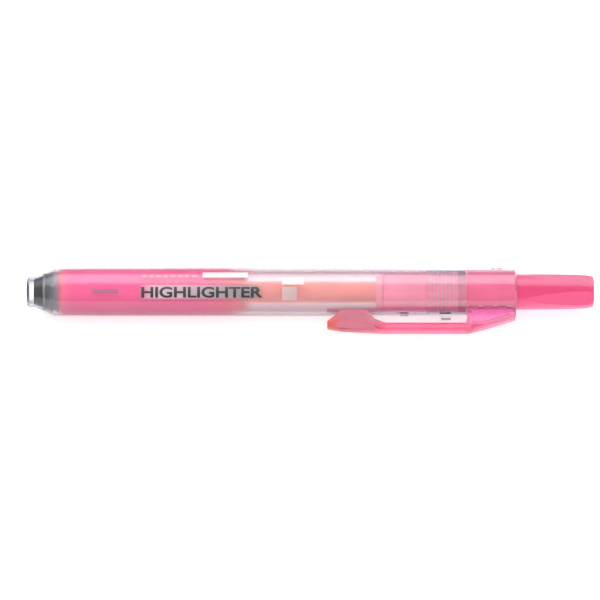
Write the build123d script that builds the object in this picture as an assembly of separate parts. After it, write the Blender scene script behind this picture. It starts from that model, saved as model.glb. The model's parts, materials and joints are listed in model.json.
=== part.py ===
from build123d import *
import os
from math import asin, atan2, degrees, hypot, radians, tan

# Retractable highlighter lying on its side.
# Distances along the pen run from the mouth of the nose towards the knock button.
# The origin is on the pen's axis halfway along it, +X points at the button.
# Every piece is built with the clip straight below the barrel, then the pen is rolled
# about its axis until it rests on the barrel and on the lower edge of the clip.

# whole pen
length = 148.0
barrel_r = 6.35
shoulder_r = 6.28
joint_r = 6.13
rear_r = 6.06
bore_r = 5.2
fit_gap = 0.05
overlap = 0.2
overcut = 1.0
knock_stroke = 12.5

# stations along the pen, from the mouth
rim_end = 1.9
nose_end = 4.4
cone_end = 7.3
full_start = 19.5
full_end = 75.0
sleeve_start = 8.5
sleeve_end = 57.7
front_end = 114.4
rear_end = 127.7

# nose cap and the cone of the barrel
rim_r = 4.05
rim_round = 0.45
mouth_r = 3.1
nose_end_r = 5.0
cone_mid = 5.9
cone_mid_r = 5.65
lip_length = 0.6
lip_inner_r = 4.45
lip_outer_r = 4.75

# shutter: a curved door on two pins across the pen, in a black housing
door_pivot = 7.0
door_outer_r = 3.7
door_inner_r = 3.2
door_half_angle = 31.0
door_ball_r = 4.5
cheek_inner = 2.7
cheek_outer = 3.1
hub_r = 1.15
pin_r = 0.5
pin_start = 2.72
pin_hole_gap = 0.02
pin_end = 4.9
boss_r = 0.95
boss_start = 3.25
boss_end = 4.7
cavity_gap = 0.1
housing_r = 5.0
housing_front_r = 3.3
housing_nose_r = 4.15
housing_cone_end = 6.6
mouth_width = 4.9
mouth_height = 3.3
seal_start = 2.5
seal_rim = 0.55
seal_inset = 0.03
seal_end = 4.2
shutter_wire_r = 0.12
shutter_coil_r = 1.15
shutter_turns = 2
shutter_leg = 1.2

# inner sleeve with the spring seat
sleeve_outer_r = 5.15
sleeve_inner_r = 4.6
seat_start = 11.1
seat_end = 12.0
seat_play = 0.3

# nib, its holder and the ink cartridge
nib_tip = 7.4
nib_width = 4.4
nib_height = 2.7
nib_slope = 3.2
nib_edge_low = -1.35
nib_edge_high = -0.9
nib_block_end = 13.0
shank_width = 3.2
shank_height = 1.5
shank_end = 18.0
stem_r = 0.75
stem_end = 35.2
neck_width = 4.6
neck_height = 2.8
flange_start = 29.8
flange_end = 31.9
holder_end = 33.6
ring_station = 30.8
ring_wire_r = 0.32
ring_sunk = 0.05
cartridge_r = 4.3
cartridge_bore_r = 3.85
cartridge_end = 57.0
reservoir_start = 33.8
reservoir_end = 54.0
plug_start = 54.3
tail_r = 2.8
tail_bore_r = 2.0
tail_end = 99.0
tail_seat = 1.4

# return spring around the neck of the holder
spring_wire_r = 0.24
spring_mean_r = 3.2
spring_turns = 8

# knock button, one long tube with its closed end outside
socket_start = 91.1
knock_start = 92.7
knock_tube_r = 4.4
knock_bore_r = 3.3
step_station = 127.6
button_r = 4.73
button_outline = [(131.5, 4.71), (138.0, 4.62), (143.0, 4.53), (146.3, 4.35)]
button_end_round = [(147.7, 4.05), (148.0, 3.5)]
button_wall = 2.0
facet_start = 130.2
facet_angle = 3.0
facet_turn = 45.0
facet_count = 4
facet_cutter = (30, 12, 4)

# latch ring: turns on the knock tube, its peg follows a slanting track
latch_start = 94.1
latch_end = 96.4
latch_outer_r = 4.9
latch_gap = 0.06
peg_r = 0.45
peg_station = 95.25
peg_depth_r = 3.85
track_depth_r = 3.72
track_width = 1.3
track_steps = 25
latch_turn = 25.0

# rear barrel with its threaded spigot
spigot_start = 93.0
spigot_bore_r = 4.5
spigot_r = 5.15
rear_round = 0.5
thread_start = 104.7
thread_count = 7
thread_spacing = 1.007
thread_ridge = 0.4
thread_crest_r = 5.5
relief_start = 104.2
relief_r = 5.6
relief_step = 2.0
rear_bore_start = 115.0

# lug and small pad on the front barrel, under the clip
lug_start = 107.6
lug_end = 110.6
lug_top = 7.55
lug_width = 2.0
lug_slope = 0.5
pad_start = 97.4
pad_end = 99.5
pad_top = 6.42

# clip: half widths and distances from the pen's axis
clip_half_width = 2.5
clip_outer_half_width = 1.9
clip_tip_half_width = 1.5
clip_bevel_from = 9.8
clip_outer = 11.05
clip_inner = 9.35
clip_tip = 78.3
tip_inner = 8.6
tip_outer = 10.05
tip_corner = 0.25
notch_station = 91.0
notch_inner = 8.4
head_outer = 10.85
head_start = 82.2
head_end = 88.5
head_inner = 5.8
head_flare_end = 82.6
hug_gap = 0.05
arm_start = 93.5
flex_station = 112.6
root_start = 114.4
root_slope_start = 115.2
root_end_outer = 7.1
root_inner = 4.9
root_end_gap = 0.2
collar_outer_r = 5.15
collar_inner_r = 4.83
collar_start = 115.05
catch_angle = 160.0
catch_top = 6.24
catch_half_width = 0.55
catch_spans = [(121.0, 122.2), (122.6, 124.1)]
notch_spans = [(114.9, 117.7), (118.6, 121.5), (122.6, 125.1)]
notch_angle = 29.0
notch_depth = 0.25
notch_width = 1.1
window_height = 3.0
clip_section_from = 4.0

# lying on a table, the pen rests on the barrel and on the lower edge of the clip's outer face
lean = atan2(clip_outer_half_width, clip_outer)
roll = degrees(asin(barrel_r / hypot(clip_outer, clip_outer_half_width)) - lean) - 90


def station(distance):
    """X of a point this far from the mouth."""
    return distance - length / 2


def turned(outline):
    """A solid of revolution about the pen's axis from (distance, radius) points."""
    face = make_face(Polyline(*[(station(d), r) for d, r in outline], close=True))
    return revolve(face, Axis.X)


def rod(start, end, radius):
    middle = (station(start) + station(end)) / 2
    return Pos(middle, 0, 0) * Rot(0, 90, 0) * Cylinder(radius, end - start)


def tube(start, end, outer, inner):
    return rod(start, end, outer) - rod(start - overcut, end + overcut, inner)


def bar(start, end, width, height, lift=0):
    """A box along the pen, centred on its axis and lifted by lift."""
    middle = (station(start) + station(end)) / 2
    return Pos(middle, 0, lift) * Box(end - start, width, height)


def cross_rod(radius, half_length, distance):
    """A cylinder across the pen, centred on its axis."""
    return Pos(station(distance), 0, 0) * Rot(90, 0, 0) * Cylinder(radius, 2 * half_length)


def ball(radius, distance):
    return Pos(station(distance), 0, 0) * Sphere(radius)


def side_rod(side, radius, start, end):
    """A cylinder on the shutter's axis, from start to end away from the pen's axis."""
    middle = side * (start + end) / 2
    return Pos(station(door_pivot), middle, 0) * Rot(90, 0, 0) * Cylinder(radius, end - start)


def below(outline, width):
    """A plate in the clip's plane from (distance, distance below the axis) points."""
    points = [(station(d), -depth) for d, depth in outline]
    face = make_face(Plane.XZ * Polyline(*points, close=True))
    return extrude(face, width / 2, both=True)


def make_nose_cap():
    rim = [(rim_round, mouth_r), (0, mouth_r + rim_round), (0, rim_r - rim_round), (rim_round, rim_r)]
    outside = [(rim_end, rim_r), (nose_end, nose_end_r)]
    lip = [
        (nose_end, lip_outer_r),
        (nose_end + lip_length, lip_outer_r),
        (nose_end + lip_length, lip_inner_r),
    ]
    inside = [(nose_end, housing_nose_r + fit_gap), (rim_end, housing_front_r + fit_gap), (rim_end, mouth_r)]
    return turned(rim + outside + lip + inside)


def make_front_barrel():
    outside = [
        (nose_end, nose_end_r),
        (cone_mid, cone_mid_r),
        (cone_end, shoulder_r),
        (full_start, barrel_r),
        (full_end, barrel_r),
        (front_end, joint_r),
    ]
    inside = [
        (front_end, relief_r),
        (relief_start, relief_r),
        (relief_start, bore_r),
        (housing_cone_end, bore_r),
        (nose_end + lip_length + fit_gap, lip_outer_r + fit_gap),
        (nose_end, lip_outer_r + fit_gap),
    ]
    foot = joint_r - overlap
    lug = [(lug_start, foot), (lug_start + lug_slope, lug_top), (lug_end, lug_top), (lug_end, foot)]
    pad = [(pad_start, foot), (pad_start, pad_top), (pad_end, pad_top), (pad_end, foot)]
    return turned(outside + inside) + below(lug, lug_width) + below(pad, lug_width)


def make_shutter_housing():
    outside = [
        (rim_end, housing_front_r),
        (nose_end, housing_nose_r),
        (housing_cone_end, housing_r),
        (sleeve_start, housing_r),
    ]
    body = turned([(rim_end, 0)] + outside + [(sleeve_start, 0)])
    room = cross_rod(door_outer_r + cavity_gap, housing_r, door_pivot)
    body -= room & ball(door_ball_r + cavity_gap, door_pivot)
    body -= rod(door_pivot, sleeve_start + overcut, sleeve_inner_r)
    for side in (-1, 1):
        body += side_rod(side, boss_r, boss_start, boss_end)
        body -= side_rod(side, pin_r + pin_hole_gap, 0, housing_r + overcut)
    body -= bar(rim_end - overcut, seal_start, mouth_width, mouth_height)
    body -= bar(seal_start, door_pivot, mouth_width + 2 * seal_rim, mouth_height + 2 * seal_rim)
    return body


def make_mouth_seal():
    rim = 2 * (seal_rim - seal_inset)
    outer = bar(seal_start + seal_inset, door_pivot, mouth_width + rim, mouth_height + rim)
    seat = cross_rod(door_outer_r + fit_gap, housing_r, door_pivot)
    ring = outer - seat - bar(rim_end, door_pivot + overcut, mouth_width, mouth_height)
    return ring & rod(rim_end, seal_end, housing_r)


def make_shutter_door():
    shell = cross_rod(door_outer_r, cheek_outer, door_pivot)
    shell -= cross_rod(door_inner_r, cheek_outer + overcut, door_pivot)
    for side in (-1, 1):
        shell += side_rod(side, door_inner_r + fit_gap, cheek_inner, cheek_outer)
    reach = 2 * door_outer_r
    rise = reach * tan(radians(door_half_angle))
    front = station(door_pivot) - reach
    wedge = Plane.XZ * Polyline((station(door_pivot), 0), (front, rise), (front, -rise), close=True)
    door = shell & extrude(make_face(wedge), cheek_outer, both=True)
    for side in (-1, 1):
        door += side_rod(side, hub_r, cheek_inner, cheek_outer)
    door &= ball(door_ball_r, door_pivot)
    for side in (-1, 1):
        door -= side_rod(side, pin_r + fit_gap, cheek_inner - overcut, cheek_outer + overcut)
    return door


def make_shutter_pin(side):
    return side_rod(side, pin_r, pin_start, pin_end)


def make_shutter_spring():
    """Two closed turns round the left boss, with one leg resting inside the housing."""
    first = boss_start + overlap
    pivot = station(door_pivot)
    spring = Part()
    for turn in range(shutter_turns):
        middle = first + turn * 1.8 * shutter_wire_r
        spring += Pos(pivot, middle, 0) * Rot(90, 0, 0) * Torus(shutter_coil_r, shutter_wire_r)
    leg = Pos(pivot + shutter_leg / 2, first, shutter_coil_r) * Rot(0, 90, 0)
    return spring + leg * Cylinder(0.9 * shutter_wire_r, shutter_leg)


def make_inner_sleeve():
    body = tube(sleeve_start + fit_gap, sleeve_end, sleeve_outer_r, sleeve_inner_r)
    seat = rod(seat_start, seat_end, sleeve_inner_r + overlap)
    seat -= bar(seat_start - overcut, seat_end + overcut, mouth_width, neck_height + seat_play)
    return body + seat


def make_nib():
    block_back = station(nib_block_end)
    tip = station(nib_tip)
    high = nib_height / 2
    side_view = Polyline(
        (tip, nib_edge_low),
        (tip, nib_edge_high),
        (tip + nib_slope, high),
        (block_back, high),
        (block_back, nib_edge_low),
        close=True,
    )
    block = extrude(make_face(Plane.XZ * side_view), nib_width / 2, both=True)
    shank = bar(nib_block_end - overlap, shank_end, shank_width, shank_height)
    return block + shank + rod(shank_end - overlap, stem_end, stem_r)


def make_nib_holder():
    holder = bar(nib_block_end + fit_gap, flange_start + overlap, neck_width, neck_height)
    holder += rod(flange_start, flange_end, cartridge_r)
    holder += rod(flange_end - overlap, holder_end, cartridge_bore_r - fit_gap)
    slot_end = shank_end + fit_gap
    holder -= bar(nib_block_end - overcut, slot_end, shank_width + fit_gap, shank_height + fit_gap)
    holder -= rod(shank_end - overcut, holder_end + overcut, stem_r + fit_gap)
    groove_bottom = cartridge_r - ring_wire_r - fit_gap
    groove_start = ring_station - ring_wire_r
    return holder - tube(groove_start, ring_station + ring_wire_r, cartridge_r + overcut, groove_bottom)


def make_sealing_ring():
    ring = Torus(cartridge_r - ring_sunk, ring_wire_r - pin_hole_gap)
    return Pos(station(ring_station), 0, 0) * Rot(0, 90, 0) * ring


def make_cartridge_tube():
    return tube(flange_end + fit_gap, cartridge_end, cartridge_r, cartridge_bore_r)


def make_ink_reservoir():
    body = rod(reservoir_start, reservoir_end, cartridge_bore_r - fit_gap)
    return body - rod(reservoir_start - overcut, stem_end + fit_gap, stem_r + fit_gap)


def make_cartridge_plug():
    body = rod(plug_start, cartridge_end, cartridge_bore_r - fit_gap)
    return body - rod(cartridge_end - tail_seat - fit_gap, cartridge_end + overcut, tail_r + fit_gap)


def make_cartridge_tail():
    return tube(cartridge_end - tail_seat, tail_end, tail_r, tail_bore_r)


def make_tail_socket():
    flange = rod(socket_start, knock_start, knock_tube_r)
    body = flange + rod(knock_start - overlap, tail_end + overcut, knock_bore_r - fit_gap)
    return body - rod(socket_start - overcut, tail_end + fit_gap, tail_r + fit_gap)


def make_return_spring():
    start = seat_end + spring_wire_r + fit_gap
    height = flange_start - seat_end - 2 * (spring_wire_r + fit_gap)
    coil = Helix(pitch=height / spring_turns, height=height, radius=spring_mean_r)
    profile = Plane(coil @ 0, z_dir=coil % 0) * Circle(spring_wire_r)
    return Pos(station(start), 0, 0) * Rot(0, 90, 0) * sweep(profile, path=coil, is_frenet=True)


def make_knock_button():
    start = knock_start + fit_gap
    outside = [(start, knock_tube_r), (step_station, knock_tube_r), (step_station, button_r)]
    bore_end = length - button_wall
    inside = [(length, 0), (bore_end, 0), (bore_end, knock_bore_r), (start, knock_bore_r)]
    button = turned(outside + button_outline + button_end_round + inside)
    facet = Pos(facet_cutter[0] / 2, 0, facet_cutter[2] / 2) * Box(*facet_cutter)
    facet = Pos(station(facet_start), 0, button_r) * Rot(0, facet_angle, 0) * facet
    for quarter in range(facet_count):
        button -= Rot(facet_turn + 360 * quarter / facet_count, 0, 0) * facet
    return button - latch_track()


def latch_track():
    """The slanting groove that the latch ring's peg follows as the knock moves."""
    track = Part()
    for step in range(track_steps + 1):
        share = step / track_steps
        along = station(peg_station + share * knock_stroke)
        cutter = Pos(along, 0, track_depth_r + overcut) * Box(track_width, track_width, 2 * overcut)
        track += Rot(latch_turn * share, 0, 0) * cutter
    return track


def make_latch_ring():
    ring = tube(latch_start, latch_end, latch_outer_r, knock_tube_r + latch_gap)
    peg_length = latch_outer_r - peg_depth_r - overlap
    return ring + Pos(station(peg_station), 0, peg_depth_r + peg_length / 2) * Cylinder(peg_r, peg_length)


def make_rear_barrel():
    outline = [
        (spigot_start, spigot_r),
        (front_end - relief_step, spigot_r),
        (front_end - relief_step, relief_r - fit_gap),
        (front_end + fit_gap, relief_r - fit_gap),
        (front_end + fit_gap, joint_r),
        (rear_end - rear_round, rear_r),
        (rear_end, rear_r - rear_round),
        (rear_end, bore_r),
        (rear_bore_start, bore_r),
        (rear_bore_start, spigot_bore_r),
        (spigot_start, spigot_bore_r),
    ]
    body = turned(outline)
    for ridge in range(thread_count):
        start = thread_start + (ridge + 0.3) * thread_spacing
        body += tube(start, start + thread_ridge, thread_crest_r, spigot_r - overlap)
    body -= tube(latch_start - fit_gap, latch_end + fit_gap, latch_outer_r + fit_gap, spigot_bore_r - overlap)
    slot = bar(collar_start, rear_end + overcut, 2 * (clip_half_width + fit_gap), barrel_r, -barrel_r)
    body -= slot - rod(collar_start - overcut, rear_end + 2 * overcut, spigot_bore_r)
    for start, end in catch_spans:
        width = 2 * (catch_half_width + fit_gap)
        window = bar(start - fit_gap, end + fit_gap, width, window_height, -barrel_r)
        body -= Rot(-catch_angle, 0, 0) * window
    for start, end in notch_spans:
        notch = bar(start, end, notch_width, 2 * notch_depth, -rear_r)
        body -= Rot(-notch_angle, 0, 0) * notch
    return body


def clip_section(start, end):
    """The clip's cross-section carried along the pen: wide near the barrel, bevelled outside."""
    points = [
        (-clip_half_width, -clip_section_from),
        (clip_half_width, -clip_section_from),
        (clip_half_width, -clip_bevel_from),
        (clip_outer_half_width, -clip_outer),
        (-clip_outer_half_width, -clip_outer),
        (-clip_half_width, -clip_bevel_from),
    ]
    face = make_face(Plane.YZ * Polyline(*points, close=True))
    return Pos(station(start), 0, 0) * extrude(face, end - start, dir=(1, 0, 0))


def make_clip_root():
    side_view = [
        (root_start, clip_inner),
        (root_start, root_inner),
        (rear_end - root_end_gap, root_inner),
        (rear_end - root_end_gap, root_end_outer),
        (root_slope_start, clip_outer),
        (flex_station, clip_outer),
        (flex_station, clip_inner),
    ]
    plate = below(side_view, 3 * clip_half_width) & clip_section(flex_station - overcut, rear_end)
    plate -= rod(flex_station - 3 * overcut, collar_start, barrel_r + hug_gap)
    plate -= rod(collar_start - overcut, rear_end + overcut, collar_outer_r - overlap)
    root = plate + tube(collar_start, rear_end - fit_gap, collar_outer_r, collar_inner_r)
    catch_foot = collar_outer_r - overlap
    for start, end in catch_spans:
        middle = -(catch_top + catch_foot) / 2
        catch = bar(start, end, 2 * catch_half_width, catch_top - catch_foot, middle)
        root += Rot(-catch_angle, 0, 0) * catch
    return root - flex_joint(0)


def flex_joint(gap):
    """The round end of the arm, about the line where the clip bends."""
    half_thick = (clip_outer - clip_inner) / 2
    middle = -(clip_outer + clip_inner) / 2
    knuckle = Pos(station(flex_station), 0, middle) * Rot(90, 0, 0)
    return knuckle * Cylinder(half_thick + fit_gap - gap, 4 * clip_half_width)


def make_clip_arm():
    side_view = [
        (clip_tip, tip_inner),
        (head_start, head_inner),
        (head_end, head_inner),
        (notch_station, notch_inner),
        (arm_start, clip_inner),
        (flex_station, clip_inner),
        (flex_station, clip_outer),
        (arm_start, clip_outer),
        (head_start, head_outer),
        (clip_tip, tip_outer),
    ]
    arm = below(side_view, 3 * clip_half_width) + flex_joint(fit_gap)
    arm &= clip_section(clip_tip - overcut, flex_station + overcut)
    arm -= rod(clip_tip - overcut, flex_station + 2 * overcut, barrel_r + hug_gap)
    start = station(clip_tip) - overcut
    end = station(head_flare_end)
    for side in (-1, 1):
        narrow = side * (clip_tip_half_width - tip_corner)
        wide = side * clip_half_width
        flare = Polyline((start, narrow), (end, wide), (end, 2 * wide), (start, 2 * wide), close=True)
        cutter = extrude(make_face(flare), 2 * clip_outer, dir=(0, 0, 1))
        arm -= Pos(0, 0, -2 * clip_outer) * cutter
    return arm


pieces = {
    "nose_cap": make_nose_cap(),
    "shutter_housing": make_shutter_housing(),
    "mouth_seal": make_mouth_seal(),
    "shutter_door": make_shutter_door(),
    "shutter_pin_left": make_shutter_pin(1),
    "shutter_pin_right": make_shutter_pin(-1),
    "shutter_spring": make_shutter_spring(),
    "inner_sleeve": make_inner_sleeve(),
    "front_barrel": make_front_barrel(),
    "nib": make_nib(),
    "nib_holder": make_nib_holder(),
    "sealing_ring": make_sealing_ring(),
    "cartridge_tube": make_cartridge_tube(),
    "ink_reservoir": make_ink_reservoir(),
    "cartridge_plug": make_cartridge_plug(),
    "cartridge_tail": make_cartridge_tail(),
    "tail_socket": make_tail_socket(),
    "return_spring": make_return_spring(),
    "knock_button": make_knock_button(),
    "latch_ring": make_latch_ring(),
    "rear_barrel": make_rear_barrel(),
    "clip_root": make_clip_root(),
    "clip_arm": make_clip_arm(),
}

os.makedirs("parts", exist_ok=True)
for name, piece in pieces.items():
    export_step(Rot(roll, 0, 0) * piece, f"parts/{name}.step")
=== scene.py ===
import bpy
import json
from math import asin, atan2, cos, pi, radians, sin
from mathutils import Matrix, Vector


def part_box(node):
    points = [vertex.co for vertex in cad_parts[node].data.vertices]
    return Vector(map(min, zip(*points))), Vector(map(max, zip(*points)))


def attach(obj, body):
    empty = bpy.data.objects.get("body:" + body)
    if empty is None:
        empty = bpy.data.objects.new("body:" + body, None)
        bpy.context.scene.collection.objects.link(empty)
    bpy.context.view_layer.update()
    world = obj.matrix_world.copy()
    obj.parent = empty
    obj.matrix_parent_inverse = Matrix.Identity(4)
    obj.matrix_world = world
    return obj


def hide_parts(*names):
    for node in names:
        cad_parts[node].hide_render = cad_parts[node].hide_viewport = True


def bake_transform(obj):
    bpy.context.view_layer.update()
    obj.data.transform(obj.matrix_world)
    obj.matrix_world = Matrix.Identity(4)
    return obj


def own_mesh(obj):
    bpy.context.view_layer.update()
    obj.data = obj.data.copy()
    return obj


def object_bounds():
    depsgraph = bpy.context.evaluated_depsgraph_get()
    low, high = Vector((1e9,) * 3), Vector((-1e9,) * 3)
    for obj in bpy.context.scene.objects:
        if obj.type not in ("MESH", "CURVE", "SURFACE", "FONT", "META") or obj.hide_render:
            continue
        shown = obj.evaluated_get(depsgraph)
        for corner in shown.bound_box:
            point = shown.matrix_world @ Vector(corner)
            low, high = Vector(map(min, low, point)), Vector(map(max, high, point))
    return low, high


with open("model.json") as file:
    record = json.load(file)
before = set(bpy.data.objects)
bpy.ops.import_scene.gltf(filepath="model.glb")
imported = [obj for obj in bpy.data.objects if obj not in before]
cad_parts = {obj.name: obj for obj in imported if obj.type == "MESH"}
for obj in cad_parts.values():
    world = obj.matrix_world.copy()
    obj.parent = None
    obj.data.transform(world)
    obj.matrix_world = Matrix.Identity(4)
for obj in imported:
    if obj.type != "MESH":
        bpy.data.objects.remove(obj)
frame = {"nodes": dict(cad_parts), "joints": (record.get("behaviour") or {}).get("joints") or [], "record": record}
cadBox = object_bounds()
print("frame loaded with", len(frame["nodes"]), "nodes")

mm = 0.001
viewElevation = radians(45.2)  # the printed side of the barrel faces this way up
roundSides = 160  # faces round a bar or a bore
cutTolerance = 0.0001 * mm  # the operator's own is too coarse for parts this small
mergeTolerance = 0.002 * mm
joints = {joint["name"]: joint for joint in frame["joints"]}
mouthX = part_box("nose_cap")[0].x
across = joints["shutter_swing"]["axis"]
rollAngle = atan2(across[2], across[1])  # how far the pen is rolled from clip straight down
barrelRadius = (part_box("front_barrel")[1].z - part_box("front_barrel")[0].z) / 2
towardsPrint = Vector((0, -cos(viewElevation), sin(viewElevation)))
upThePrint = Vector((0, sin(viewElevation), cos(viewElevation)))


def fromMouth(distance):  # mm from the mouth to a place along X
    return mouthX + distance * mm


def deselectAll():
    if bpy.context.object and bpy.context.object.mode != "OBJECT":
        bpy.ops.object.mode_set(mode="OBJECT")
    bpy.ops.object.select_all(action="DESELECT")


def pick(piece):
    deselectAll()
    piece.select_set(True)
    bpy.context.view_layer.objects.active = piece


def newest(name):
    piece = bpy.context.object
    piece.name = name
    piece.data.name = name
    return piece


def applyPlace(piece):
    pick(piece)
    bpy.ops.object.transform_apply(location=True, rotation=True, scale=True)


def rollPiece(piece):
    piece.rotation_euler = (rollAngle, 0, 0)
    applyPlace(piece)


def addModifier(piece, kind, **settings):
    pick(piece)
    bpy.ops.object.modifier_add(type=kind)
    modifier = piece.modifiers[-1]
    for name, value in settings.items():
        setattr(modifier, name, value)
    bpy.ops.object.modifier_apply(modifier=modifier.name)


def smoothByAngle(piece, angle=30):
    pick(piece)
    bpy.ops.object.shade_smooth_by_angle(angle=radians(angle))


def editAll(piece):
    pick(piece)
    bpy.ops.object.mode_set(mode="EDIT")
    bpy.ops.mesh.select_all(action="SELECT")


def leaveEdit():
    bpy.ops.object.mode_set(mode="OBJECT")


def selectFaces(piece, wanted):  # picks faces by a test and stays in edit mode
    editAll(piece)
    bpy.ops.mesh.select_mode(type="FACE")
    bpy.ops.mesh.select_all(action="DESELECT")
    leaveEdit()
    for face in piece.data.polygons:
        face.select = wanted(face)
    bpy.ops.object.mode_set(mode="EDIT")


def cutPlane(piece, point, normal, fill=True, clear=True):  # clear drops what lies on the normal's side
    editAll(piece)
    bpy.ops.mesh.bisect(
        plane_co=point, plane_no=normal, use_fill=fill, clear_outer=clear, threshold=cutTolerance,
    )
    leaveEdit()


def outwards(piece):
    editAll(piece)
    bpy.ops.mesh.remove_doubles(threshold=mergeTolerance)
    bpy.ops.mesh.normals_make_consistent(inside=False)
    leaveEdit()


def linearColour(hexValue):
    channels = [int(hexValue[i:i + 2], 16) / 255 for i in (0, 2, 4)]
    linear = [c / 12.92 if c <= 0.04045 else ((c + 0.055) / 1.055) ** 2.4 for c in channels]
    return (*linear, 1.0)


def addNode(material, kind, settings, inputs, output=0):  # an input is a value, a hex colour or a socket
    node = material.node_tree.nodes.new("ShaderNode" + kind)
    for name, value in settings.items():
        setattr(node, name, value)
    for name, value in inputs.items():
        if isinstance(value, bpy.types.NodeSocket):
            material.node_tree.links.new(value, node.inputs[name])
        else:
            node.inputs[name].default_value = linearColour(value) if isinstance(value, str) else value
    return node.outputs[output] if len(node.outputs) else None


def newMaterial(name):  # an empty material and its Object coordinates
    material = bpy.data.materials.new(name)
    material.use_nodes = True
    material.node_tree.nodes.clear()
    return material, addNode(material, "TexCoord", {}, {}, "Object")


colours = {"data_type": "RGBA"}  # a Mix node's colours are its inputs 6 and 7 and its output 2
times = {"operation": "MULTIPLY"}
minus = {"operation": "SUBTRACT"}
smoothly = {"interpolation_type": "SMOOTHSTEP"}


def alongPen(material, place, start, end):  # 0 before start and 1 after end, in mm from the mouth
    along = addNode(material, "SeparateXYZ", {}, {"Vector": place}, "X")
    return addNode(material, "MapRange", smoothly, {
        "Value": along, "From Min": fromMouth(start), "From Max": fromMouth(end),
    })


def fromAxis(material, place):  # distance from the pen's axis
    flat = addNode(material, "VectorMath", times, {0: place, 1: (0, 1, 1)})
    return addNode(material, "VectorMath", {"operation": "LENGTH"}, {0: flat}, "Value")


# the sleeve's pink as it shows at the barrel's wall: orange at both ends, painted light that the fluorescent
# acrylic carries to its ends, thinning out at the back
sleeveLook = {
    "front": "F2758A", "main": "F1508F", "back": "F5707E", "paler": "F56D9F", "palerShare": 0.25,
    "frontFrom": 8.0, "frontTo": 12.0, "backFrom": 43.0, "backTo": 58.0, "blotch": 6.0,
    "coverFrom": 7.2, "coverTo": 10.0, "thinFrom": 50.0, "thinTo": 60.0,
    "ior": 1.49, "smooth": 0.2, "rough": 0.3, "grain": 0.3, "glow": 0.2,
}


def sleeveCover(material, place):  # how much the sleeve hides
    look = sleeveLook
    after = alongPen(material, place, look["coverFrom"], look["coverTo"])
    before = alongPen(material, place, look["thinFrom"], look["thinTo"])
    left = addNode(material, "Math", minus, {0: 1.0, 1: before})
    return addNode(material, "Math", times, {0: after, 1: left})


def sleeveColour(material, place):
    look = sleeveLook
    atFront = alongPen(material, place, look["frontFrom"], look["frontTo"])
    atBack = alongPen(material, place, look["backFrom"], look["backTo"])
    front = addNode(material, "Mix", colours, {0: atFront, 6: look["front"], 7: look["main"]}, 2)
    whole = addNode(material, "Mix", colours, {0: atBack, 6: front, 7: look["back"]}, 2)
    blotches = addNode(material, "TexNoise", {}, {"Vector": place, "Scale": 1 / (look["blotch"] * mm)})
    share = addNode(material, "MapRange", {}, {"Value": blotches, "To Max": look["palerShare"]})
    return addNode(material, "Mix", colours, {0: share, 6: whole, 7: look["paler"]}, 2)


def pinkSleeve():  # fluorescent pink acrylic, thin enough at its back end to see through
    look = sleeveLook
    material, place = newMaterial("pinkSleeve")
    colour = sleeveColour(material, place)
    grain = addNode(material, "TexNoise", {}, {"Vector": place, "Scale": 1 / (look["grain"] * mm)})
    rough = addNode(material, "MapRange", {}, {
        "Value": grain, "To Min": look["smooth"], "To Max": look["rough"],
    })
    surface = addNode(material, "BsdfPrincipled", {}, {
        "IOR": look["ior"], "Emission Strength": look["glow"], "Base Color": colour,
        "Emission Color": colour, "Roughness": rough, "Alpha": sleeveCover(material, place),
    })
    addNode(material, "OutputMaterial", {}, {"Surface": surface})
    return material


# clear polystyrene: polished and colourless, with a painted reflection that makes it darker where it is seen edge
# on, and faint flow lines
clearLook = {
    "tint": "F6F4F8", "edge": "6F6586", "edgeBlend": 0.7, "polish": 0.7, "polishRoughness": 0.14,
    "ior": 1.5, "roughness": 0.03, "flowSize": 8.0, "flowDetail": 1.0, "flowDepth": 0.003,
    "innerRadius": 5.26, "backedRoughness": 0.25,
}
# painted pink light caught on the bores: salmon in the middle zone, pink round the knock
boreLightLook = {
    "middle": "F5B3A8", "rear": "EE9DB2", "knock": "EF86A6", "deep": "EE5C8C", "mottle": 3.0,
    "turnFrom": 88, "turnTo": 93, "deepFrom": 114.3, "deepTo": 115.2, "startsAt": 46, "fullAt": 60,
    "frontShare": 0.22, "rearShare": 0.5, "frontGlow": 0.35, "rearGlow": 0.6, "rearRadius": 5.3,
    "patch": 7.0, "patchDetail": 1.0, "thinnest": 0.7, "thickest": 1.3, "roughness": 0.4,
}
# painted highlights on the thread's crests: pale and glowing, blotched at random between a dull and a bright
# colour
threadLook = {
    "crest": "F3C3CE", "dull": "E4AEBE", "blotch": 2.0, "roughness": 0.4, "glow": 0.3,
    "foot": 5.3, "top": 5.53, "share": 0.5,
}
noseLook = {
    "polish": 0.0, "joint": "A9B0A6", "jointFrom": 4.28, "jointTo": 4.4, "glow": 0.12, "roughness": 0.4,
    "blotch": 1.5, "faint": 0.3, "strong": 0.8,
}


def clearShader(material, place, polish):
    look = clearLook
    flow = addNode(material, "TexNoise", {}, {
        "Vector": place, "Scale": 1 / (look["flowSize"] * mm), "Detail": look["flowDetail"],
    })
    # painted reflection: the tint turns to the darker edge colour where the surface is seen edge on
    facing = addNode(material, "LayerWeight", {}, {"Blend": look["edgeBlend"]}, "Facing")
    return addNode(material, "BsdfPrincipled", {}, {
        "Base Color": addNode(material, "Mix", colours, {0: facing, 6: look["tint"], 7: look["edge"]}, 2),
        "Normal": addNode(material, "Bump", {}, {"Height": flow, "Distance": look["flowDepth"] * mm}),
        "Roughness": look["roughness"], "IOR": look["ior"], "Transmission Weight": 1.0,
        "Coat Weight": polish, "Coat Roughness": look["polishRoughness"], "Coat IOR": look["ior"],
    })


def nearerThan(material, place, radius):  # radius in mm
    test = {"operation": "LESS_THAN"}
    return addNode(material, "Math", test, {0: fromAxis(material, place), 1: radius * mm})


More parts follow.
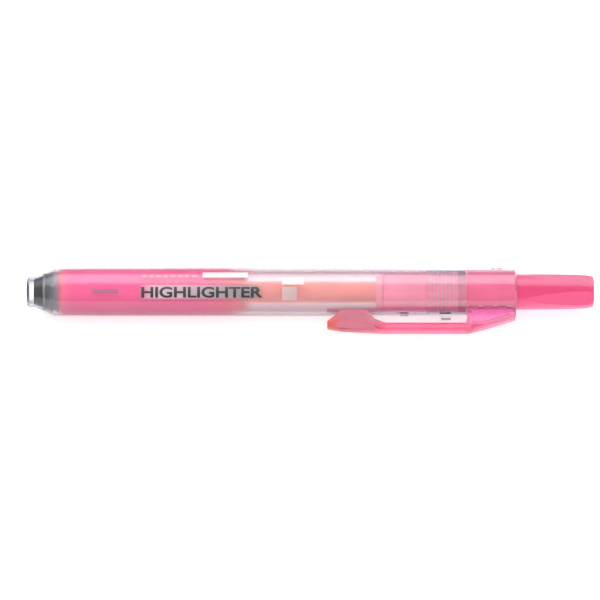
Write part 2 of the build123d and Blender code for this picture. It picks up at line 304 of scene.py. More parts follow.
def paintedBoreLight(material, place, colour, share, glass, glow, radius):  # painted pink light over the clear plastic, glowing, in patches
    look = boreLightLook
    caughtLight = addNode(material, "BsdfPrincipled", {}, {
        "Roughness": look["roughness"], "IOR": clearLook["ior"], "Emission Strength": glow,
        "Base Color": colour, "Emission Color": colour,
    })
    patches = addNode(material, "TexNoise", {}, {
        "Vector": place, "Scale": 1 / (look["patch"] * mm), "Detail": look["patchDetail"],
    })
    patchy = addNode(material, "MapRange", {}, {
        "Value": patches, "To Min": share * look["thinnest"], "To Max": share * look["thickest"],
    })
    onBore = addNode(material, "Math", times, {0: nearerThan(material, place, radius), 1: patchy})
    behind = alongPen(material, place, look["startsAt"], look["fullAt"])
    cover = addNode(material, "Math", times, {0: onBore, 1: behind})
    return addNode(material, "MixShader", {}, {0: cover, 1: glass, 2: caughtLight})


def clearPolystyrene():  # the front barrel: pink where its bore lies against the sleeve
    look = clearLook
    material, place = newMaterial("clearPolystyrene")
    turn = alongPen(material, place, boreLightLook["turnFrom"], boreLightLook["turnTo"])
    warm = addNode(material, "Mix", colours, {0: turn, 6: boreLightLook["middle"], 7: boreLightLook["rear"]}, 2)
    glass = clearShader(material, place, look["polish"])
    # painted pink light on the bore, salmon turning to pink towards the back
    glass = paintedBoreLight(
        material, place, warm, boreLightLook["frontShare"], glass, boreLightLook["frontGlow"], look["innerRadius"],
    )
    pink = sleeveColour(material, place)
    backed = addNode(material, "BsdfPrincipled", {}, {
        "Roughness": look["backedRoughness"], "IOR": look["ior"], "Emission Strength": sleeveLook["glow"],
        "Base Color": pink, "Emission Color": pink,
    })
    near = nearerThan(material, place, look["innerRadius"])
    cover = addNode(material, "Math", times, {0: near, 1: sleeveCover(material, place)})
    surface = addNode(material, "MixShader", {}, {0: cover, 1: glass, 2: backed})
    addNode(material, "OutputMaterial", {}, {"Surface": surface})
    return material


def noseClear():  # the nose ring: nothing pink behind it, and light caught in the joint at its back end
    look = noseLook
    material, place = newMaterial("clearPolystyreneNose")
    caught = addNode(material, "BsdfPrincipled", {}, {
        "Base Color": look["joint"], "Roughness": look["roughness"], "IOR": clearLook["ior"],
        "Emission Color": look["joint"], "Emission Strength": look["glow"],
    })
    blotches = addNode(material, "TexNoise", {}, {"Vector": place, "Scale": 1 / (look["blotch"] * mm)})
    patchy = addNode(material, "MapRange", {}, {
        "Value": blotches, "To Min": look["faint"], "To Max": look["strong"],
    })
    atJoint = alongPen(material, place, look["jointFrom"], look["jointTo"])
    share = addNode(material, "Math", times, {0: atJoint, 1: patchy})
    glass = clearShader(material, place, look["polish"])
    surface = addNode(material, "MixShader", {}, {0: share, 1: glass, 2: caught})
    addNode(material, "OutputMaterial", {}, {"Surface": surface})
    return material


def rearClear():  # the rear barrel: full of the knock's pink as painted light on its bore, with painted highlights on the crests of its thread
    look = boreLightLook
    thread = threadLook
    material, place = newMaterial("clearPolystyreneRear")
    mottle = addNode(material, "TexNoise", {}, {"Vector": place, "Scale": 1 / (look["mottle"] * mm)})
    mottled = addNode(material, "Mix", colours, {0: mottle, 6: look["rear"], 7: look["knock"]}, 2)
    behind = alongPen(material, place, look["deepFrom"], look["deepTo"])
    colour = addNode(material, "Mix", colours, {0: behind, 6: mottled, 7: look["deep"]}, 2)
    glass = clearShader(material, place, clearLook["polish"])
    # painted pink light from the knock on the rear bore
    withBoreLight = paintedBoreLight(material, place, colour, look["rearShare"], glass, look["rearGlow"], look["rearRadius"])
    # painted highlights on the crests, between the thread's foot and top radii
    blotches = addNode(material, "TexNoise", {}, {"Vector": place, "Scale": 1 / (thread["blotch"] * mm)})
    wearAndCrestLight = addNode(material, "Mix", colours, {0: blotches, 6: thread["dull"], 7: thread["crest"]}, 2)
    crest = addNode(material, "BsdfPrincipled", {}, {
        "Roughness": thread["roughness"], "Emission Strength": thread["glow"],
        "Base Color": wearAndCrestLight, "Emission Color": wearAndCrestLight,
    })
    outside = {"operation": "GREATER_THAN"}
    above = addNode(material, "Math", outside, {0: fromAxis(material, place), 1: thread["foot"] * mm})
    between = addNode(material, "Math", times, {0: above, 1: nearerThan(material, place, thread["top"])})
    share = addNode(material, "Math", times, {0: between, 1: thread["share"]})
    surface = addNode(material, "MixShader", {}, {0: share, 1: withBoreLight, 2: crest})
    addNode(material, "OutputMaterial", {}, {"Surface": surface})
    return material


# fluorescent pink acrylic of the knock: glossy, deep in the middle, with a painted sheen that makes it paler where
# it turns away
pinkLook = {
    "middle": "E8437A", "turned": "EF86A8", "blend": 0.45, "ior": 1.49, "smooth": 0.1, "rough": 0.18,
    "grain": 0.3, "glow": 0.08,
}


def pinkAcrylic():
    look = pinkLook
    material, place = newMaterial("pinkAcrylic")
    # painted sheen: paler where the surface is seen edge on
    facing = addNode(material, "LayerWeight", {}, {"Blend": look["blend"]}, "Facing")
    colour = addNode(material, "Mix", colours, {0: facing, 6: look["middle"], 7: look["turned"]}, 2)
    grain = addNode(material, "TexNoise", {}, {"Vector": place, "Scale": 1 / (look["grain"] * mm)})
    rough = addNode(material, "MapRange", {}, {
        "Value": grain, "To Min": look["smooth"], "To Max": look["rough"],
    })
    surface = addNode(material, "BsdfPrincipled", {}, {
        "IOR": look["ior"], "Emission Strength": look["glow"], "Base Color": colour,
        "Emission Color": colour, "Roughness": rough,
    })
    addNode(material, "OutputMaterial", {}, {"Surface": surface})
    return material


# moulded acetal of the shutter's housing: near black in front; under the cone, painted light seen through the cone
# makes it grey, blotched and paler towards the back
housingLook = {
    "front": "03121A", "paintedConeGrey": "38454F", "pale": "8E969E", "coneGreyFrom": 4.3, "coneGreyTo": 4.7,
    "paleFrom": 5.0, "paleTo": 8.4, "blotch": 1.4, "blotchDetail": 1.0, "leastFront": -0.3,
    "ior": 1.48, "smooth": 0.3, "rough": 0.45,
}


def housingConeLight():
    look = housingLook
    material, place = newMaterial("blackAcetalConeLight")
    blotches = addNode(material, "TexNoise", {}, {
        "Vector": place, "Scale": 1 / (look["blotch"] * mm), "Detail": look["blotchDetail"],
    })
    share = addNode(material, "MapRange", {}, {"Value": blotches, "To Min": look["leastFront"]})
    # painted light seen through the cone: grey with blotches at random, paler towards the back
    paintedConeGrey = addNode(material, "Mix", colours, {0: share, 6: look["paintedConeGrey"], 7: look["front"]}, 2)
    paler = alongPen(material, place, look["paleFrom"], look["paleTo"])
    cone = addNode(material, "Mix", colours, {0: paler, 6: paintedConeGrey, 7: look["pale"]}, 2)
    towardsCone = alongPen(material, place, look["coneGreyFrom"], look["coneGreyTo"])
    colour = addNode(material, "Mix", colours, {0: towardsCone, 6: look["front"], 7: cone}, 2)
    rough = addNode(material, "MapRange", {}, {
        "Value": blotches, "To Min": look["smooth"], "To Max": look["rough"],
    })
    surface = addNode(material, "BsdfPrincipled", {}, {
        "IOR": look["ior"], "Base Color": colour, "Roughness": rough,
    })
    addNode(material, "OutputMaterial", {}, {"Surface": surface})
    return material


# fluorescent pink acrylic of the clip: see-through, rosy in the head, with painted light caught inside and coming
# out: orange at the tip, red outside
clipLook = {
    "tip": "DF5A36", "head": "CF8195", "arm": "EA86B6", "outer": "D9486C", "paler": "F3A9C6",
    "tipFrom": 79.6, "tipTo": 82.4, "headFrom": 89.5, "headTo": 94.5, "outerFrom": 10.4, "outerTo": 11.2,
    "cloud": 2.2, "palerShare": 0.35, "grain": 0.4, "smooth": 0.05, "rough": 0.12,
    "ior": 1.49, "transmission": 0.75, "glow": 0.08,
}


def pinkClipAcrylic():
    look = clipLook
    material, place = newMaterial("pinkClipAcrylic")
    # painted light caught inside and coming out: orange at the tip and red on the outer face
    afterTip = alongPen(material, place, look["tipFrom"], look["tipTo"])
    afterHead = alongPen(material, place, look["headFrom"], look["headTo"])
    front = addNode(material, "Mix", colours, {0: afterTip, 6: look["tip"], 7: look["head"]}, 2)
    whole = addNode(material, "Mix", colours, {0: afterHead, 6: front, 7: look["arm"]}, 2)
    far = addNode(material, "MapRange", {}, {
        "Value": fromAxis(material, place),
        "From Min": look["outerFrom"] * mm, "From Max": look["outerTo"] * mm,
    })
    rimmed = addNode(material, "Mix", colours, {0: far, 6: whole, 7: look["outer"]}, 2)
    cloud = addNode(material, "TexNoise", {}, {"Vector": place, "Scale": 1 / (look["cloud"] * mm)})
    share = addNode(material, "MapRange", {}, {"Value": cloud, "To Max": look["palerShare"]})
    colour = addNode(material, "Mix", colours, {0: share, 6: rimmed, 7: look["paler"]}, 2)
    grain = addNode(material, "TexNoise", {}, {"Vector": place, "Scale": 1 / (look["grain"] * mm)})
    rough = addNode(material, "MapRange", {}, {
        "Value": grain, "To Min": look["smooth"], "To Max": look["rough"],
    })
    surface = addNode(material, "BsdfPrincipled", {}, {
        "IOR": look["ior"], "Transmission Weight": look["transmission"], "Emission Strength": look["glow"],
        "Base Color": colour, "Emission Color": colour, "Roughness": rough,
    })
    addNode(material, "OutputMaterial", {}, {"Surface": surface})
    return material


# the plainer solids: colour and gloss drift between two values, cloud and grain mm across
solidLooks = {
    "black_plastic": {  # moulded acetal: satin, near black
        "name": "blackAcetal", "dark": "15191C", "light": "23292E", "cloud": 0.35, "grain": 0.35,
        "detail": 3.0, "smooth": 0.323, "rough": 0.437, "depth": 0.01, "ior": 1.48,
    },
    "black_rubber": {  # moulded rubber: dull black
        "name": "blackRubber", "dark": "0E0E0F", "light": "1A1A1B", "cloud": 0.3, "grain": 0.3,
        "detail": 3.0, "smooth": 0.595, "rough": 0.805, "depth": 0.02, "ior": 1.48,
    },
    "ink_fibre": {  # bonded felt, wet with ink: matt, mottled pink
        "name": "inkFibre", "dark": "EE4A80", "light": "F5719B", "cloud": 0.25, "grain": 0.25,
        "detail": 3.0, "smooth": 0.765, "rough": 1.0, "depth": 0.06, "ior": 1.48,
    },
    "nib_fibre": {  # dense pressed felt: finer and paler
        "name": "nibFibre", "dark": "F2547F", "light": "F9839D", "cloud": 0.12, "grain": 0.12,
        "detail": 3.0, "smooth": 0.7225, "rough": 0.9775, "depth": 0.03, "ior": 1.48,
    },
    "white_plastic": {  # moulded polypropylene: milky satin
        "name": "whitePlastic", "dark": "ECE8E7", "light": "F6F3F2", "cloud": 1.5, "grain": 1.5,
        "detail": 3.0, "smooth": 0.2975, "rough": 0.4025, "depth": 0.005, "ior": 1.48,
    },
    "salmon_plastic": {  # polypropylene tube: cloudy, warm, lit from within
        "name": "salmonPolypropylene", "dark": "EE7F7A", "light": "F59C92", "cloud": 5.0,
        "detail": 2.0, "roughness": 0.28, "ior": 1.49, "glow": 0.18,
    },
    "spring_steel": {  # drawn wire: bright, with fine marks
        "name": "springSteel", "dark": "A8A6A4", "light": "C9C8C7", "cloud": 0.15, "grain": 0.15,
        "detail": 4.0, "smooth": 0.2, "rough": 0.35, "metallic": 1.0,
    },
}
socketLook = {  # milky polypropylene, with painted rosy light from the tube and the knock beside it, and a painted glow
    "name": "rosyLitPolypropylene", "dark": "F09AA4", "light": "F4AEB0", "cloud": 3.0,
    "detail": 2.0, "roughness": 0.28, "ior": 1.49, "glow": 0.3,
}
edgeLook = {  # the clip's acrylic where light caught inside comes out: orange
    "name": "pinkClipEdge", "dark": "DC2E08", "light": "EE5A3C", "cloud": 1.6, "grain": 0.4,
    "detail": 2.0, "smooth": 0.08, "rough": 0.16, "ior": 1.49, "glow": 0.3,
}
pocketLook = {  # the same in the pocket of its root: magenta
    "name": "pinkClipPocket", "dark": "E855A2", "light": "F07CB6", "cloud": 1.6, "grain": 0.4,
    "detail": 2.0, "smooth": 0.08, "rough": 0.16, "ior": 1.49, "glow": 0.22,
}


plainSockets = {"IOR": "ior", "Metallic": "metallic", "Roughness": "roughness", "Emission Strength": "glow"}


def solidMaterial(look):
    material, place = newMaterial(look["name"])
    cloud = addNode(material, "TexNoise", {}, {
        "Vector": place, "Scale": 1 / (look["cloud"] * mm), "Detail": look["detail"],
    })
    colour = addNode(material, "Mix", colours, {0: cloud, 6: look["dark"], 7: look["light"]}, 2)
    inputs = {socket: look[key] for socket, key in plainSockets.items() if key in look}
    inputs["Base Color"] = colour
    if "glow" in look:
        inputs["Emission Color"] = colour
    if "grain" in look:
        grain = addNode(material, "TexNoise", {}, {
            "Vector": place, "Scale": 1 / (look["grain"] * mm), "Detail": look["detail"],
        })
        inputs["Roughness"] = addNode(material, "MapRange", {}, {
            "Value": grain, "To Min": look["smooth"], "To Max": look["rough"],
        })
        if "depth" in look:
            inputs["Normal"] = addNode(material, "Bump", {}, {"Height": grain, "Distance": look["depth"] * mm})
    surface = addNode(material, "BsdfPrincipled", {}, inputs)
    addNode(material, "OutputMaterial", {}, {"Surface": surface})
    return material


materials = {slotName: solidMaterial(look) for slotName, look in solidLooks.items()}
materials["clear_plastic"] = clearPolystyrene()
materials["pink_plastic"] = pinkAcrylic()
materials["pink_clip_plastic"] = pinkClipAcrylic()
ownMaterials = {
    "nose_cap": noseClear(), "inner_sleeve": pinkSleeve(), "shutter_housing": housingConeLight(),
    "rear_barrel": rearClear(), "tail_socket": solidMaterial(socketLook),
}
clipEdge = solidMaterial(edgeLook)
clipPocket = solidMaterial(pocketLook)
for part in frame["record"]["subparts"]:
    node = frame["nodes"][part["node"]]
    node.data.materials.clear()
    node.data.materials.append(ownMaterials.get(part["node"], materials[part["material_slot"]]))
print("materials given to the CAD nodes")


# the clip: one springy moulding from its tip to the end of its root

clipShape = {
    "sections": [  # distance from the mouth, nearest and farthest from the axis, half width
        (78.3, 8.6, 10.05, 1.45), (82.2, 5.8, 10.85, 2.45), (88.5, 5.8, 10.97, 2.5), (91.0, 8.4, 11.0, 2.5),
        (93.5, 9.35, 11.05, 2.5), (114.4, 9.35, 11.05, 2.5), (115.2, 4.9, 11.05, 2.5), (127.5, 4.9, 7.1, 2.5),
    ],
    "armSection": 4, "bevelFrom": 9.8, "outerHalfWidth": 1.88,
    "headAt": 83.0, "headTop": 10.9, "headHalfWidth": 1.0, "headLow": 8.6, "headLowHalfWidth": 2.5,
    "armAt": 93.5,
    "edgeWidth": 0.34, "edgeSteps": 2, "edgeAngle": 20, "tipEnds": 80, "tipFacing": -0.6,
    "pocketFrom": 116, "pocketFacing": 0.99, "pocketArea": 5, "pocketInset": 0.75, "pocketDepth": 0.35,
    "hugRadius": 6.4, "hugFrom": 77, "hugTo": 115.05, "flexFrom": 111.6, "flexTo": 113.6,
}


def boxModel(name, sections):  # a bar of rectangular sections, each extruded and sized from the last
    first = sections[0]
    middle = -(first[1] + first[2]) / 2 * mm
    place = (fromMouth(first[0]), 0, middle)
    bpy.ops.mesh.primitive_plane_add(size=1, location=place, rotation=(0, radians(90), 0))
    piece = newest(name)
    piece.scale = ((first[2] - first[1]) * mm, 2 * first[3] * mm, 1)
    applyPlace(piece)
    editAll(piece)
    for last, section in zip(sections, sections[1:]):
        centre = -(section[1] + section[2]) / 2 * mm
        before = -(last[1] + last[2]) / 2 * mm
        move = ((section[0] - last[0]) * mm, 0, centre - before)
        bpy.ops.mesh.extrude_region_move(TRANSFORM_OT_translate={"value": move})
        grow = (1, section[3] / last[3], (section[2] - section[1]) / (last[2] - last[1]))
        bpy.ops.transform.resize(value=grow, center_override=(fromMouth(section[0]), 0, centre))
    leaveEdit()
    return piece


def roundBar(name, start, end, radius):
    bpy.ops.mesh.primitive_cylinder_add(
        vertices=roundSides, radius=radius * mm, depth=(end - start) * mm,
        location=((fromMouth(start) + fromMouth(end)) / 2, 0, 0), rotation=(0, radians(90), 0),
    )
    bar = newest(name)
    applyPlace(bar)
    return bar


def paintSelected(piece, materialIndex):
    piece.active_material_index = materialIndex
    bpy.ops.object.material_slot_assign()
    leaveEdit()


def makeClip():
    shape = clipShape
    clip = boxModel("clip", shape["sections"])
    outwards(clip)
    outer, halfWidth = shape["sections"][shape["armSection"]][2:]
    for side in (-1, 1):  # the sloping faces along its outer corners
        rise = outer - shape["bevelFrom"]
        run = halfWidth - shape["outerHalfWidth"]
        bevelWay = Vector((0, side * rise, -run)).normalized()
        cutPlane(clip, (0, side * shape["outerHalfWidth"] * mm, -outer * mm), bevelWay)
    for side in (-1, 1):  # the same faces widening over the head
        headX = fromMouth(shape["headAt"])
        arm = Vector((fromMouth(shape["armAt"]), side * shape["outerHalfWidth"] * mm, -outer * mm))
        head = Vector((headX, side * shape["headHalfWidth"] * mm, -shape["headTop"] * mm))
        low = Vector((headX, side * shape["headLowHalfWidth"] * mm, -shape["headLow"] * mm))
        normal = (head - arm).cross(low - arm)
        if normal.y * side < 0:
            normal.negate()
        cutPlane(clip, arm, normal.normalized())
    outwards(clip)
    for material in (materials["pink_clip_plastic"], clipEdge, clipPocket):
        clip.data.materials.append(material)
    addModifier(
        clip, "BEVEL", width=shape["edgeWidth"] * mm, segments=shape["edgeSteps"], limit_method="ANGLE",
        angle_limit=radians(shape["edgeAngle"]), material=1,
    )
    selectFaces(clip, lambda face: (
        face.center.x > fromMouth(shape["pocketFrom"]) and abs(face.normal.y) > shape["pocketFacing"]
        and face.area > shape["pocketArea"] * mm ** 2
    ))
    bpy.ops.mesh.inset(thickness=shape["pocketInset"] * mm, depth=-shape["pocketDepth"] * mm)
    paintSelected(clip, 2)
    selectFaces(clip, lambda face: (
        face.normal.x < shape["tipFacing"] and face.center.x < fromMouth(shape["tipEnds"])
    ))
    paintSelected(clip, 1)
    cutter = roundBar("cutter", shape["hugFrom"], shape["hugTo"], shape["hugRadius"])
    addModifier(clip, "BOOLEAN", operation="DIFFERENCE", object=cutter, solver="EXACT")
    bpy.data.objects.remove(cutter)
    outwards(clip)
    smoothByAngle(clip)
    rollPiece(clip)
    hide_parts("clip_arm", "clip_root")
    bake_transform(clip)


# the thin ring of the clip that sits inside the rear barrel, and the two catches on it

collarShape = {
    "start": 115.1, "end": 127.6, "inner": 4.84, "outer": 5.14, "catches": [(121.0, 122.2), (122.6, 124.1)],
    "catchTop": 6.22, "catchHalfWidth": 0.53, "catchFoot": 5.0, "catchAngle": 160, "edge": 0.1,
    "edgeSteps": 2, "endFacing": 0.9,
}


def finishRoot(piece):
    smoothByAngle(piece)
    rollPiece(piece)
    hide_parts("clip_root")
    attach(piece, "barrel")


def makeCollar():
    shape = collarShape
    collar = roundBar("clip_collar", shape["start"], shape["end"], shape["outer"])
    selectFaces(collar, lambda face: abs(face.normal.x) > shape["endFacing"])
    bpy.ops.mesh.inset(thickness=(shape["outer"] - shape["inner"]) * mm)
    bpy.ops.mesh.bridge_edge_loops()
    leaveEdit()
    outwards(collar)
    collar.data.materials.append(materials["pink_clip_plastic"])
    finishRoot(collar)
    middle = -(shape["catchTop"] + shape["catchFoot"]) / 2 * mm
    height = (shape["catchTop"] - shape["catchFoot"]) * mm
    for letter, (start, end) in zip("ab", shape["catches"]):  # two lengths, so neither is a copy
        bpy.ops.mesh.primitive_cube_add(size=1, location=((fromMouth(start) + fromMouth(end)) / 2, 0, middle))
        catch = newest("clip_catch_" + letter)
        catch.scale = ((end - start) * mm, 2 * shape["catchHalfWidth"] * mm, height)
        applyPlace(catch)
        catch.data.materials.append(materials["pink_clip_plastic"])
        addModifier(
            catch, "BEVEL", width=shape["edge"] * mm, segments=shape["edgeSteps"], limit_method="ANGLE",
            material=-1,
        )
        catch.rotation_euler = (radians(-shape["catchAngle"]), 0, 0)
        applyPlace(catch)
        finishRoot(catch)


makeClip()
makeCollar()
print("clip and its collar made")


# the return spring: one wire wound round the neck of the nib's holder

springShape = {
    "start": 12.29, "end": 29.51, "wire": 0.24, "middle": 3.2, "turns": 8, "sides": 10, "steps": 40,
    "smoothUpTo": 60, "frontSeat": 12.0, "backSeat": 29.8,
}


def makeSpring():
    shape = springShape
    bpy.ops.mesh.primitive_circle_add(
        vertices=shape["sides"], radius=shape["wire"] * mm, fill_type="NOTHING",
        location=(fromMouth(shape["start"]), 0, shape["middle"] * mm),
    )
    spring = newest("return_coil")
    spring.rotation_euler = (radians(90), 0, 0)
    applyPlace(spring)
    addModifier(
        spring, "SCREW", axis="X", angle=2 * pi, iterations=shape["turns"],
        screw_offset=(shape["end"] - shape["start"]) / shape["turns"] * mm,
        steps=shape["steps"], render_steps=shape["steps"], use_merge_vertices=False,
    )
    editAll(spring)
    bpy.ops.mesh.select_mode(type="EDGE")
    bpy.ops.mesh.select_all(action="DESELECT")
    bpy.ops.mesh.select_non_manifold()  # the wire's two open ends
    bpy.ops.mesh.edge_face_add()
    leaveEdit()
    outwards(spring)
    spring.data.materials.append(materials["spring_steel"])
    smoothByAngle(spring, shape["smoothUpTo"])
    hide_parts("return_spring")
    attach(spring, "barrel")
    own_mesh(spring)


makeSpring()
print("return spring made")


# the nib: a chisel of felt with worn edges, its shank and stem running back into the ink

nibShape = {
    "sections": [
        (7.4, 0.9, 1.34, 2.18), (10.6, -1.34, 1.34, 2.18), (13.0, -1.34, 1.34, 2.18),
        (13.04, -0.74, 0.74, 1.58), (18.0, -0.74, 0.74, 1.58),
        (18.04, -0.5, 0.5, 0.5), (35.2, -0.5, 0.5, 0.5),
    ],
    "edge": 0.22, "edgeSteps": 3, "edgeAngle": 25, "smoothUpTo": 40,
}


def makeNib():
    shape = nibShape
    nib = boxModel("felt_nib", shape["sections"])
    outwards(nib)
    nib.data.materials.append(materials["nib_fibre"])
    addModifier(
        nib, "BEVEL", width=shape["edge"] * mm, segments=shape["edgeSteps"], limit_method="ANGLE",
        angle_limit=radians(shape["edgeAngle"]),
    )
    outwards(nib)
    smoothByAngle(nib, shape["smoothUpTo"])
    rollPiece(nib)
    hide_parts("nib")
    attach(nib, "slider")


makeNib()
print("nib made")


# the printing, all of it on the side of the barrel that faces up and away from the clip

# screen inks: flat and dull, thinned a little by their grain, and drifting from one colour to another
inkLooks = {
    "grey": {"start": "D9B3B4", "end": "CFA9A9", "startAt": 66.0, "endAt": 71.0, "wearAndCrestLight": 0.1},
    "dark": {"start": "17181C", "end": "0C0D10", "startAt": 30.0, "endAt": 60.0, "wearAndCrestLight": 0.02},
    "pale": {"start": "DCC3CE", "end": "E4D2D6", "startAt": 44.0, "endAt": 60.0, "wearAndCrestLight": 0.1},
    "rose": {"start": "B8527F", "end": "A3506B", "startAt": 24.0, "endAt": 60.0, "wearAndCrestLight": 0.1},
}
inkSurface = {"base": "FFFFFF", "grain": 0.08, "smooth": 0.4, "rough": 0.6, "ior": 1.5}
# the grey haze behind the word fades out at both ends and along its edges
hazeLook = {
    "pale": "E9CBD8", "deep": "8F9499", "start": 28.6, "end": 62.9, "soft": 5.0, "half": 2.2,
    "fullWithin": 0.6, "cover": 0.85, "roughness": 0.4, "ior": 1.5,
}
printShape = {
    "lift": 0.004, "columns": 360,
    "patches": [  # name, from and to along the pen, from and to up the print, ink
        ("print_panel", 28.65, 62.9, -2.25, 2.25, "haze"),
        ("print_pill", 45.9, 57.7, 3.75, 5.05, "pale"),
        ("print_top_line", 36.2, 59.5, 6.06, 6.14, "rose"),
        ("print_front_mark", 17.2, 24.1, -0.35, 0.75, "rose"),
        ("print_rear_mark", 66.6, 72.3, 1.9, 3.6, "pale"),
        ("print_rear_block", 66.6, 70.5, -2.2, 1.3, "grey"),
    ],
    "rowMark": ("print_row_mark_a", 30.2, 31.45, 3.85, 4.45), "rowInk": "rose", "rowPitch": 1.85,
    "rowLetters": "bcdefgh",
}
wordShape = {
    "text": "HIGHLIGHTER", "height": 2.9, "start": 30.0, "end": 61.5, "low": -1.55, "lift": 0.02,
    "rows": 12, "bold": 0.03, "ink": "dark",
}


def printInk(name, look):
    surface = inkSurface
    material, place = newMaterial(name + "Ink")
    along = alongPen(material, place, look["startAt"], look["endAt"])
    colour = addNode(material, "Mix", colours, {0: along, 6: look["start"], 7: look["end"]}, 2)
    grain = addNode(material, "TexNoise", {}, {"Vector": place, "Scale": 1 / (surface["grain"] * mm)})
    bare = addNode(material, "MapRange", {}, {"Value": grain, "To Max": look["wearAndCrestLight"]})
    shader = addNode(material, "BsdfPrincipled", {}, {
        "IOR": surface["ior"],
        "Base Color": addNode(material, "Mix", colours, {0: bare, 6: colour, 7: surface["base"]}, 2),
        "Roughness": addNode(material, "MapRange", {}, {
            "Value": grain, "To Min": surface["smooth"], "To Max": surface["rough"],
        }),
    })
    addNode(material, "OutputMaterial", {}, {"Surface": shader})
    return material


def printHaze():
    look = hazeLook
    material, place = newMaterial("greyHazeInk")
    along = alongPen(material, place, look["start"], look["end"])
    fadeIn = alongPen(material, place, look["start"], look["start"] + look["soft"])
    fadeOut = alongPen(material, place, look["end"] - look["soft"], look["end"])
    beforeEnd = addNode(material, "Math", minus, {0: 1.0, 1: fadeOut})
    up = addNode(material, "VectorMath", {"operation": "DOT_PRODUCT"}, {0: place, 1: upThePrint}, "Value")
    edge = addNode(material, "MapRange", smoothly, {
        "Value": addNode(material, "Math", {"operation": "ABSOLUTE"}, {0: up}),
        "From Min": look["half"] * mm, "From Max": look["half"] * look["fullWithin"] * mm,
    })
    inside = addNode(material, "Math", times, {0: fadeIn, 1: beforeEnd})
    cover = addNode(material, "Math", times, {0: inside, 1: edge})
    shader = addNode(material, "BsdfPrincipled", {}, {
        "IOR": look["ior"], "Roughness": look["roughness"],
        "Base Color": addNode(material, "Mix", colours, {0: along, 6: look["pale"], 7: look["deep"]}, 2),
        "Alpha": addNode(material, "Math", times, {0: cover, 1: look["cover"]}),
    })
    addNode(material, "OutputMaterial", {}, {"Surface": shader})
    return material


def printPatch(name, start, end, low, high):  # a thin patch on the barrel
    radius = barrelRadius / mm
    bpy.ops.mesh.primitive_cylinder_add(
        vertices=printShape["columns"], radius=(radius + printShape["lift"]) * mm, depth=(end - start) * mm,
        end_fill_type="NOTHING", location=((fromMouth(start) + fromMouth(end)) / 2, 0, 0),
        rotation=(0, radians(90), 0),
    )
    patch = newest(name)
    applyPlace(patch)
    cutPlane(patch, (0, 0, 0), -towardsPrint, fill=False)
    for side, height in ((1, high), (-1, low)):
        angle = viewElevation + asin(height / radius)
        edge = Vector((0, -cos(angle), sin(angle)))
        higher = Vector((0, sin(angle), cos(angle)))
        cutPlane(patch, edge * radius * mm, side * higher, fill=False)
    return patch


def finishPrint(piece, ink):
    piece.data.materials.append(ink)
    selectFaces(piece, lambda face: Vector((0, face.center.y, face.center.z)).dot(face.normal) < 0)
    bpy.ops.mesh.flip_normals()  # any face that looks towards the pen's axis
    leaveEdit()
    pick(piece)
    bpy.ops.object.shade_smooth()
    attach(piece, "barrel")


def printWord():  # laid flat over the barrel, cut into rows and wrapped round it
    shape = wordShape
    bpy.ops.object.text_add()
    bpy.context.object.data.body = shape["text"]
    bpy.context.object.data.offset = shape["bold"]
    bpy.ops.object.convert(target="MESH")
    word = newest("print_word")
    width, height = word.dimensions.x, word.dimensions.y
    scaleX = (shape["end"] - shape["start"]) * mm / width
    scaleY = shape["height"] * mm / height
    corner = [min(vertex.co[i] for vertex in word.data.vertices) for i in (0, 1)]
    for row in range(1, shape["rows"]):
        rowFoot = (0, corner[1] + height * row / shape["rows"], 0)
        cutPlane(word, rowFoot, (0, 1, 0), fill=False, clear=False)
    toSize = Matrix.Diagonal((scaleX, scaleY, 1, 1)) @ Matrix.Translation((-corner[0], -corner[1], 0))
    lean = Matrix.Rotation(radians(90) - viewElevation, 4, "X")
    overBarrel = Matrix.Translation((fromMouth(shape["start"]), shape["low"] * mm, barrelRadius))
    word.data.transform(lean @ overBarrel @ toSize)
    radius = barrelRadius + shape["lift"] * mm
    for vertex in word.data.vertices:  # straight down onto the barrel
        depth = (radius ** 2 - vertex.co.dot(upThePrint) ** 2) ** 0.5
        vertex.co += towardsPrint * (depth - vertex.co.dot(towardsPrint))
    return word


def makePrinting():
    shape = printShape
    inks = {name: printInk(name, look) for name, look in inkLooks.items()}
    inks["haze"] = printHaze()
    for name, start, end, low, high, ink in shape["patches"]:
        finishPrint(printPatch(name, start, end, low, high), inks[ink])
    marks = [printPatch(*shape["rowMark"])]
    for letter in shape["rowLetters"]:
        pick(marks[0])
        bpy.ops.object.duplicate()
        mark = newest("print_row_mark_" + letter)
        mark.location.x = len(marks) * shape["rowPitch"] * mm
        applyPlace(mark)
        marks.append(mark)
    for mark in marks:
        finishPrint(mark, inks[shape["rowInk"]])
    finishPrint(printWord(), inks[wordShape["ink"]])


makePrinting()
print("printing made")


# floor, lights and camera

floorLook = {  # matt white paper, lit a little from beneath so that shadows on it stay faint
    "light": "F7F7F7", "dark": "F3F3F3", "mottle": 20.0, "roughness": 0.6, "glow": 0.6, "lamp": "FFFFFF",
    "size": 3, "gap": 0.01,
}
studio = {  # lamps: degrees round from the front over the top, distance, width, length, watts a square metre
    "world": 0.76,
    "overhead": (112, 0.62, 0.58, 1.5, 2.2), "highlight": (112, 0.62, 0.58, 1.5, 50.0),
    "fill": (30, 0.9, 0.6, 1.2, 0.3), "glossOnly": ["highlight"],
}
cameraView = {"centreX": -2.75, "axisAbove": 2.12, "frameWidth": 156.8, "lens": 250, "sensor": 36}


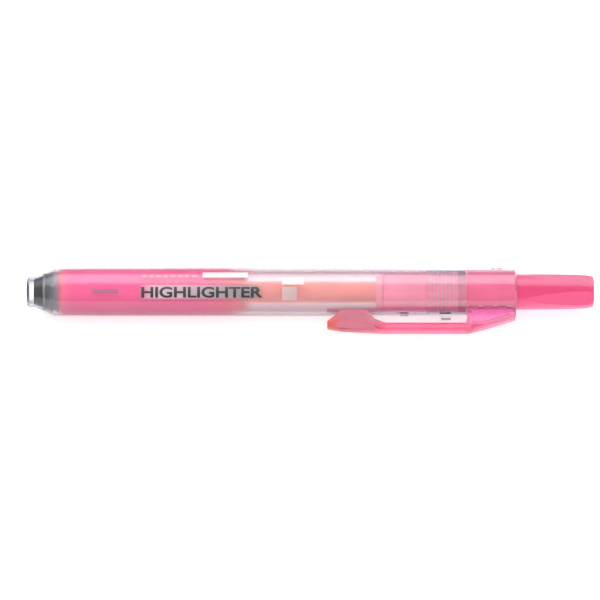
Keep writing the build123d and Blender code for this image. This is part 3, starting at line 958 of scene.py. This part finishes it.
def softbox(name, angle, distance, width, length, brightness):
    data = bpy.data.lights.new(name, "AREA")
    data.shape = "RECTANGLE"
    data.size = length
    data.size_y = width
    data.energy = brightness * width * length
    lamp = bpy.data.objects.new(name, data)
    bpy.context.collection.objects.link(lamp)
    lamp.location = (0, -distance * cos(radians(angle)), distance * sin(radians(angle)))
    lamp.rotation_euler = (radians(90 - angle), 0, 0)
    lamp.visible_diffuse = name not in studio["glossOnly"]
    lamp.visible_transmission = name not in studio["glossOnly"]


def paleFloor():
    look = floorLook
    material, place = newMaterial("paleFloor")
    mottle = addNode(material, "TexNoise", {}, {"Vector": place, "Scale": 1 / (look["mottle"] * mm)})
    surface = addNode(material, "BsdfPrincipled", {}, {
        "Base Color": addNode(material, "Mix", colours, {0: mottle, 6: look["dark"], 7: look["light"]}, 2),
        "Roughness": look["roughness"], "Emission Strength": look["glow"], "Emission Color": look["lamp"],
    })
    addNode(material, "OutputMaterial", {}, {"Surface": surface})
    return material


def makeStudio():
    below = cadBox[0][2] - floorLook["gap"] * mm
    bpy.ops.mesh.primitive_plane_add(size=floorLook["size"], location=(0, 0, below))
    floor = newest("floor")
    applyPlace(floor)
    floor.data.materials.append(paleFloor())
    world = bpy.data.worlds.new("softStudio")
    bpy.context.scene.world = world
    world.use_nodes = True
    background = world.node_tree.nodes["Background"]
    background.inputs["Color"].default_value = (1, 1, 1, 1)
    background.inputs["Strength"].default_value = studio["world"]
    for name in ("overhead", "highlight", "fill"):
        softbox(name, *studio[name])


def makeCamera():
    view = cameraView
    target = Vector((view["centreX"] * mm, 0, 0)) - upThePrint * view["axisAbove"] * mm
    data = bpy.data.cameras.new("mainCamera")
    data.lens = view["lens"]
    data.sensor_width = view["sensor"]
    camera = bpy.data.objects.new("mainCamera", data)
    bpy.context.collection.objects.link(camera)
    camera.location = target + towardsPrint * view["frameWidth"] * mm * view["lens"] / view["sensor"]
    camera.rotation_euler = (radians(90) - viewElevation, 0, 0)
    bpy.context.scene.camera = camera


makeStudio()
makeCamera()
bpy.context.scene.view_settings.view_transform = "Standard"
print("studio and camera made")
